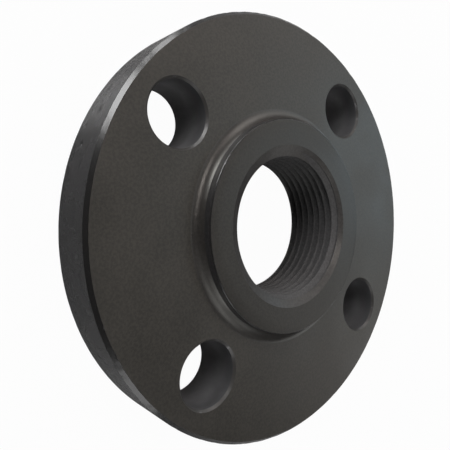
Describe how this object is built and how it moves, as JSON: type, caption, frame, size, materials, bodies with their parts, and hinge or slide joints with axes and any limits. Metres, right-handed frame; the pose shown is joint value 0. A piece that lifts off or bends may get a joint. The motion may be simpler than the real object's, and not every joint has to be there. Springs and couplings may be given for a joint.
{
  "type": "threaded pipe flange",
  "caption": "Round steel pipe flange: a thick plate with a low hub, a threaded bore for the pipe end and a ring of bolt holes for clamping it to a mating flange.",
  "frame": {"origin": "centre of the raised gasket face, which the flange lies on", "axes": "+Z along the bore, from the raised face to the hub; the bolt holes lie at 45 degrees between X and Y"},
  "size_m": [0.1164, 0.1164, 0.0194],
  "materials": {
    "dark_steel": "black phosphate on turned forged steel, matte"
  },
  "bodies": {
    "root": {"threaded_flange": "dark_steel"}
  },
  "joints": []
}
